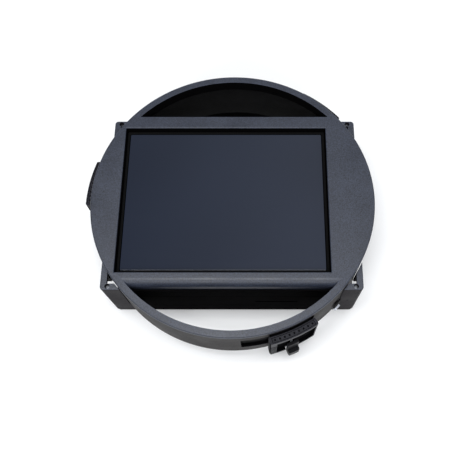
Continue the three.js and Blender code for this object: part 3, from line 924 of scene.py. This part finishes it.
def make_tray():
    x, y = tray_high.x, tray_high.y
    tower_top = tray_high.z
    tray = box_blank("tray_moulding", (-x, -y, tray_low.z), (x, y, tower_top))
    round_edges(tray, upright, TOWER_ROUND, 6)
    round_edges(tray, lambda a, b: min(a.z, b.z) > tower_top - NEAR, TOWER_TOP_ROUND, 3)
    cut(tray, box_blank(
        "tray_well", (-x + SIDE_WALL, -y + END_WALL, tray_low.z - 1),
        (x - SIDE_WALL, y - END_WALL, tower_top + 1)))
    cut(tray, round_blank("face_room", NOTCH[1], (BASE_TOP, tower_top + 1)))
    notch = round_blank("notch", NOTCH[1], (SKIRT_BOTTOM - GAP, tower_top + 1))
    cut(notch, round_blank("notch_core", NOTCH[0], (SKIRT_BOTTOM - 1, tower_top + 2)))
    cut(tray, notch)
    for side in (-1, 1):
        weld(tray, corner_ledge(side))
        for end, wall in zip(SHELF_ENDS, (x - SIDE_WALL + 0.5, -x + SIDE_WALL - 0.5)):
            weld(tray, stage_shelf(end, wall, side * SHELF_Y))
        cut(tray, *side_windows(side))
    for place in corner_places():
        cut(tray, round_blank("screw_hole", SCREW_HOLE, (tray_low.z - 1, tower_top + 1), place, 32))
        cut(tray, round_blank("screw_seat", CORNER_SEAT, (BASE_TOP - 1, tower_top + 1), place, 32))
    for place in ((hole_x, side * SHELF_Y) for hole_x in STAGE_SCREW_X for side in (-1, 1)):
        cut(tray, round_blank("shelf_hole", WIDE_HOLE, (STAGE_BOTTOM - 5, STAGE_BOTTOM), place, 32))
    cut(tray, box_blank(
        "front_slot", (FRONT_SLOT_X[0], -y - 1, FRONT_SLOT_LEVELS[0]),
        (FRONT_SLOT_X[1], -y + END_WALL + 1, FRONT_SLOT_LEVELS[1])))
    for height in FRONT_LINES:
        cut(tray, box_blank(
            "front_line", (-FRONT_LINE_HALF, -y - 1, height),
            (FRONT_LINE_HALF, -y + FRONT_LINE_DEPTH, height + 0.3)))
    cut(tray, round_blank_along_y("gate_mark", GATE_MARK_RADIUS, (-y - 1, -y + 0.3), GATE_MARK))
    soften(tray, 0.16)
    hand_over(tray, "tray", "body_plastic", TRAY_PLASTIC, "base_frame")
    finish_faces(tray, FACE_PLASTIC, on_tower_top)


def round_blank_along_y(name, radius, ends, place):
    x, z = place
    bpy.ops.mesh.primitive_cylinder_add(
        vertices=24, radius=radius * MM, depth=(ends[1] - ends[0]) * MM,
        location=at(x, (ends[0] + ends[1]) / 2, z), rotation=(math.pi / 2, 0, 0))
    return settle(bpy.context.object, name)


def make_floor_plate():
    x, y = floor_high.x, floor_high.y
    plate = box_blank("floor_plate", (-x, -y, floor_low.z), (x, y, floor_high.z))
    round_edges(plate, upright, 1.2, 6)
    opening = 1.0
    cut(plate, box_blank(
        "light_opening", (glass_low.x - opening, glass_low.y - opening, -1),
        (glass_high.x + opening, glass_high.y + opening, floor_high.z + 1)))
    for place in corner_places():
        cut(plate, round_blank("screw_hole", SCREW_HOLE, (0.7, floor_high.z + 1), place, 32))
    soften(plate, 0.25)
    hand_over(plate, "tray", "body_plastic", TRAY_PLASTIC, "bottom_plate")


# ---------------------------------------------------------------- lock ring, grips and catch
def bayonet_tools(lug):
    """The inclined run of a bayonet slot, and its mouth at the ring's lower edge."""
    radii = (RING_INNER - 1, RING_OUTER + 1)
    steps = 5
    tools = [wedge_blank(
        "mouth", radii, (lug - LOCK_TURN - LUG_HALF, lug - LOCK_TURN + LUG_HALF),
        (ring_low.z - 1, STAGE_TOP - CLAMP_LIFT + GAP))]
    for step in range(steps):
        near, far = step / steps, (step + 1) / steps
        span = (lug - LUG_HALF - LOCK_TURN * far, lug + LUG_HALF - LOCK_TURN * near)
        heights = (STAGE_BOTTOM - GAP - CLAMP_LIFT * far, STAGE_TOP + GAP - CLAMP_LIFT * near)
        tools.append(wedge_blank("run", radii, span, heights))
    return tools


def radial_bar(name, degrees, z, radius, ends, sides=32):
    """A round bar that points away from the ring's axis."""
    near, far = ends
    bpy.ops.mesh.primitive_cylinder_add(
        vertices=sides, radius=radius * MM, depth=(far - near) * MM,
        location=polar((near + far) / 2, degrees, z),
        rotation=(0, math.pi / 2, math.radians(degrees)))
    return settle(bpy.context.object, name)


def make_lock_ring():
    ring = round_blank("lock_band", RING_OUTER, (ring_low.z, ring_high.z))
    cut(ring, round_blank("band_bore", RING_INNER, (ring_low.z - 1, ring_high.z + 1)))
    for lug in LUG_ANGLES:
        cut(ring, *bayonet_tools(lug))
    for tooth in range(TEETH):
        start = SKIRT_WINDOW[0] + 1 + TOOTH_PITCH * tooth
        weld(ring, wedge_blank(
            "tooth", (RING_OUTER - 0.5, RING_OUTER + 0.2), (start, start + TOOTH_WIDTH),
            (ring_high.z - 2, ring_high.z - 0.6), 0.65))
    for angle in GRIP_ANGLES.values():
        for offset in GRIP_SCREWS:
            bore = (RING_INNER - 1, RING_OUTER + 1)
            cut(ring, radial_bar("screw_way", angle + offset, GRIP_SCREW_HEIGHT, WIDE_HOLE, bore))
            seat = (RING_INNER - 1, RING_INNER + 0.85)
            cut(ring, radial_bar("screw_seat", angle + offset, GRIP_SCREW_HEIGHT, GRIP_SCREW_SEAT, seat))
    soften(ring, 0.1)
    hand_over(ring, "ring", "black_metal", BLACK_METAL, "lock_ring")


def grip_blank(name, angle):
    """The curved block of a grip, with rounded ends and the stem that passes through the skirt."""
    low, high = grip_low.z, grip_high.z
    span = (angle - GRIP_HALF, angle + GRIP_HALF)
    grip = wedge_blank(name, (GRIP_INNER, GRIP_OUTER), span, (low, high), GRIP_ARC)
    corners = [(polar(GRIP_OUTER, degrees, 0) - at(0, 0, 0)) / MM for degrees in span]

    def on_outer_corner(a, b):
        near = min((Vector((a.x, a.y, 0)) - corner).length for corner in corners) < 0.05
        return upright(a, b) and near

    round_edges(grip, on_outer_corner, 1.1, 5)
    stem = (angle + GRIP_STEM[0], angle + GRIP_STEM[1])
    weld(grip, wedge_blank(
        "stem", (RING_OUTER + GAP, GRIP_INNER + 0.5), stem, (SKIRT_SLOT_BOTTOM + GAP, high - 0.3), GRIP_ARC))
    return grip


def in_grip_relief(centre, _):
    """True in the marks on a grip's top and in the grooves of its outer side."""
    radius = radius_of(centre)
    in_marks = grip_high.z - 0.35 < centre.z < grip_high.z - 0.12 and radius < GRIP_OUTER - 0.3
    beside = grip_low.z + 0.9 < centre.z < grip_high.z - 0.9
    return in_marks or (beside and GRIP_OUTER - 0.7 < radius < GRIP_OUTER - 0.17)


def in_hood(centre, _):
    inside = HOOD_RADIUS - 0.2 < radius_of(centre) < GRIP_OUTER - 0.2
    return inside and grip_low.z + HOOD_LIP - 0.1 < centre.z < HOOD_TOP + 0.2


def mark_angles(angle):
    """The evenly spaced marks along a grip."""
    return [angle + (mark - (GRIP_MARKS - 1) // 2) * GRIP_MARK_PITCH for mark in range(GRIP_MARKS)]


def cut_grip_top(grip, angle):
    """A sunk outline round the grip's top face and a row of short marks inside it."""
    high = grip_high.z
    outline = wedge_blank(
        "outline", (GRIP_INNER + 0.35, GRIP_OUTER - 0.45), (angle - 8.8, angle + 8.8),
        (high - 0.22, high + 1), GRIP_ARC)
    cut(outline, wedge_blank(
        "outline_core", (GRIP_INNER + 0.6, GRIP_OUTER - 0.7), (angle - 8.5, angle + 8.5),
        (high - 1, high + 2), GRIP_ARC))
    cut(grip, outline)
    for centre in mark_angles(angle):
        cut(grip, wedge_blank(
            "mark", (GRIP_INNER + 1.0, GRIP_OUTER - 1.0), (centre - 0.35, centre + 0.35),
            (high - 0.3, high + 1), 0.35))


def drill_grip(grip, angle):
    for offset in GRIP_SCREWS:
        way = (RING_OUTER, GRIP_SCREW_WAY)
        cut(grip, radial_bar("screw_way", angle + offset, GRIP_SCREW_HEIGHT, WIDE_HOLE, way))


def make_side_grip(name):
    angle = GRIP_ANGLES[name]
    grip = grip_blank(name + "_moulding", angle)
    for centre in mark_angles(angle):
        cut(grip, wedge_blank(
            "rib_groove", (GRIP_OUTER - 0.5, GRIP_OUTER + 1), (centre - 0.4, centre + 0.4),
            (grip_low.z + 1, grip_high.z - 1), 0.4))
    cut_grip_top(grip, angle)
    drill_grip(grip, angle)
    soften(grip, 0.12)
    hand_over(grip, "ring", "grip_plastic", GRIP_PLASTIC, name)
    # Painted shade in the grip's marks and grooves.
    finish_faces(grip, PAINTED_SHADE_BLACK, in_grip_relief)


def make_front_grip():
    """The front grip is a hood: open at its face, with the catch's tongue passing through its lower lip."""
    angle = GRIP_ANGLES["grip_front"]
    grip = grip_blank("grip_front_moulding", angle)
    lip = grip_low.z + HOOD_LIP
    cut(grip, wedge_blank(
        "recess", (HOOD_RADIUS, GRIP_OUTER + 1), (angle - GRIP_HALF + 2.6, angle + GRIP_HALF - 1),
        (lip, HOOD_TOP), GRIP_ARC))
    way_half = CATCH_HALF + 0.2
    cut(grip, wedge_blank(
        "tongue_way", (HOOD_RADIUS + 0.25, GRIP_OUTER + 1), (CATCH_ANGLE - way_half, CATCH_ANGLE + way_half),
        (grip_low.z - 1, lip + 1), GRIP_ARC))
    for ridge in range(END_RIDGES):
        height = grip_low.z + 1.4 + END_RIDGE_PITCH * ridge
        cut(grip, wedge_blank(
            "end_groove", (GRIP_OUTER - 0.55, GRIP_OUTER + 1),
            (angle - GRIP_HALF - 1, angle - GRIP_HALF + 2.5), (height, height + END_RIDGE_WIDTH), GRIP_ARC))
    cut_grip_top(grip, angle)
    drill_grip(grip, angle)
    soften(grip, 0.12)
    hand_over(grip, "ring", "grip_plastic", GRIP_PLASTIC, "grip_front")
    # Painted shade in the hood's recess and in the grip's marks and grooves.
    finish_faces(
        grip, PAINTED_SHADE_BLACK, lambda centre, normal: in_hood(centre, normal) or in_grip_relief(centre, normal))


def make_catch():
    span = (CATCH_ANGLE - CATCH_HALF, CATCH_ANGLE + CATCH_HALF)
    tongue = wedge_blank(
        "catch_tongue", (TONGUE_BACK, TONGUE_TIP), span, (catch_low.z, TONGUE_TOP), CATCH_ARC)

    def on_tip_corner(a, b):
        bearing = math.degrees(math.atan2(a.y, a.x))
        at_corner = min(abs(bearing - end) for end in span) < 0.02
        return upright(a, b) and radius_of(a) > TONGUE_TIP - 0.1 and at_corner

    round_edges(tongue, on_tip_corner, 1.0, 6)
    weld(tongue, wedge_blank(
        "tongue_stem", (TONGUE_BACK, TONGUE_BACK + 1.2), span, (TONGUE_TOP - 0.3, catch_high.z), CATCH_ARC))
    cut(tongue, radial_bar(
        "spring_seat", CATCH_ANGLE, SPRING_HEIGHT, WIDE_HOLE, (TONGUE_BACK - 1, TONGUE_BACK + 0.9)))
    for radius in THUMB_GROOVES:
        cut(tongue, wedge_blank(
            "thumb_groove", (radius, radius + 0.25), (span[0] + 0.5, span[1] - 0.5),
            (TONGUE_TOP - 0.25, TONGUE_TOP + 1.2), CATCH_ARC))
    soften(tongue, 0.22, 3)
    # The catch's darker plastic is painted shade.
    hand_over(tongue, "catch", "grip_plastic", CATCH_SHADE_PLASTIC, "release_catch")


def make_clip():
    """A spring leaf on the skirt, with a bright lip bent out at its lower end."""
    leaf = (DISC + GAP, DISC + 0.9)
    clip = wedge_blank("index_leaf", leaf, CLIP_SPAN, (clip_low.z + 0.4, clip_high.z), CLIP_ARC)
    weld(clip, wedge_blank(
        "leaf_lip", (leaf[0], CLIP_REACH), CLIP_SPAN, (clip_low.z, clip_low.z + 0.8), CLIP_ARC))
    middle = (CLIP_SPAN[0] + CLIP_SPAN[1]) / 2
    cut(clip, radial_bar("rivet_hole", middle, RIVET_HEIGHT, 0.5, (DISC, DISC + 2), 24))
    cut(clip, wedge_blank(
        "leaf_relief", (DISC + 0.7, DISC + 2), (middle - 1, middle + 1), LEAF_RELIEF_LEVELS, CLIP_ARC))
    soften(clip, 0.08)
    hand_over(clip, "housing", "steel", STEEL, "index_clip")
    finish_faces(clip, BLACK_METAL, lambda centre, _: centre.z > clip_low.z + 1.1)


# ---------------------------------------------------------------- glass and seal
def make_panes():
    for name, body, node, low, high in (
            ("window_pane", "housing", "glass_pane", glass_low, glass_high),
            ("under_pane", "tray", "lower_glass", under_low, under_high)):
        pane = box_blank(name, low, high)
        round_edges(pane, upright, 0.5, 4)
        soften(pane, 0.12, 2)
        hand_over(pane, body, "dark_glass", WINDOW_GLASS, node)


def make_seal():
    seal = box_blank("window_seal", gasket_low, gasket_high)
    round_edges(seal, upright, 0.4, 4)
    wall = 0.9
    well = box_blank(
        "seal_well", (gasket_low.x + wall, gasket_low.y + wall, gasket_low.z - 1),
        (gasket_high.x - wall, gasket_high.y - wall, gasket_high.z + 1))
    round_edges(well, upright, 0.6, 4)
    cut(seal, well)
    soften(seal, 0.15, 3)
    hand_over(seal, "housing", "black_rubber", SEAL_RUBBER, "glass_gasket")


# ---------------------------------------------------------------- screws
def master_screw(name, shank, head, length, head_height):
    """A slotted screw that stands on its tip at the origin, with its head up."""
    bpy.ops.mesh.primitive_cylinder_add(
        vertices=24, radius=shank * MM, depth=length * MM, location=(0, 0, length / 2 * MM))
    screw = settle(bpy.context.object, name)
    bpy.ops.mesh.primitive_cylinder_add(
        vertices=32, radius=head * MM, depth=head_height * MM,
        location=(0, 0, (length - head_height / 2) * MM))
    weld(screw, settle(bpy.context.object, "screw_head"))
    bpy.ops.mesh.primitive_cube_add(
        size=1, location=(0, 0, length * MM),
        scale=(head * 3 * MM, head * 0.3 * MM, head_height * 0.8 * MM))
    cut(screw, settle(bpy.context.object, "driver_slot"))
    soften(screw, head * 0.07)
    return screw


def fit_screws(master, body, fits, metal):
    """Copies one screw to each (node, place, rotation), and gives each copy its own mesh."""
    for node, place, turn in fits:
        screw = master.copy()
        screw.data = master.data.copy()
        bpy.context.scene.collection.objects.link(screw)
        screw.location = place
        screw.rotation_euler = turn
        settle(screw, node + "_slotted")
        hand_over(screw, body, "steel", metal, node)
    bpy.data.objects.remove(master)


def screw_fits(prefix, turned_over=False):
    fits = []
    for index in range(1, 5):
        node = f"{prefix}_{index}"
        low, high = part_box(node)
        place = (low + high) / 2
        place.z = high.z if turned_over else low.z
        spin = 0.7 * index
        fits.append((node, place, (math.pi if turned_over else 0, 0, spin)))
    return fits


def make_screws():
    for prefix, body, shank, head, head_height, turned_over, metal in (
            ("corner_screw", "tray", 0.45, 0.7, 0.6, False, DARK_STEEL),
            ("stage_screw", "tray", 0.6, 1.2, 0.5, False, STEEL),
            ("frame_screw", "housing", 0.6, 1.1, 0.7, True, STEEL)):
        low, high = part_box(prefix + "_1")
        length = (high.z - low.z) / MM
        master = master_screw(prefix + "_master", shank, head, length, head_height)
        fit_screws(master, body, screw_fits(prefix, turned_over), metal)
    length = GRIP_SCREW_TIP - RING_INNER - 0.1
    master = master_screw("grip_screw_master", 0.6, 1.2, length, 0.45)
    fits = []
    for grip, angle in GRIP_ANGLES.items():
        for index, offset in enumerate(GRIP_SCREWS):
            degrees = angle + offset
            place = polar(GRIP_SCREW_TIP, degrees, GRIP_SCREW_HEIGHT)
            fits.append((f"{grip}_screw_{index + 1}", place, (0, -math.pi / 2, math.radians(degrees))))
    fit_screws(master, "ring", fits, STEEL)


def finish_cad_nodes():
    """The inner pieces keep their own shape and get their finish."""
    for node, metal in (
            ("film_stage", BLACK_METAL), ("film_rail_front", BLACK_METAL), ("film_rail_rear", BLACK_METAL),
            ("glass_frame", BLACK_METAL), ("catch_spring", STEEL)):
        frame["nodes"][node].data.materials.clear()
        frame["nodes"][node].data.materials.append(metal)


make_housing()
make_tray()
make_floor_plate()
make_lock_ring()
make_front_grip()
make_side_grip("grip_rear")
make_side_grip("grip_left")
make_catch()
make_clip()
make_panes()
make_seal()
make_screws()
finish_cad_nodes()
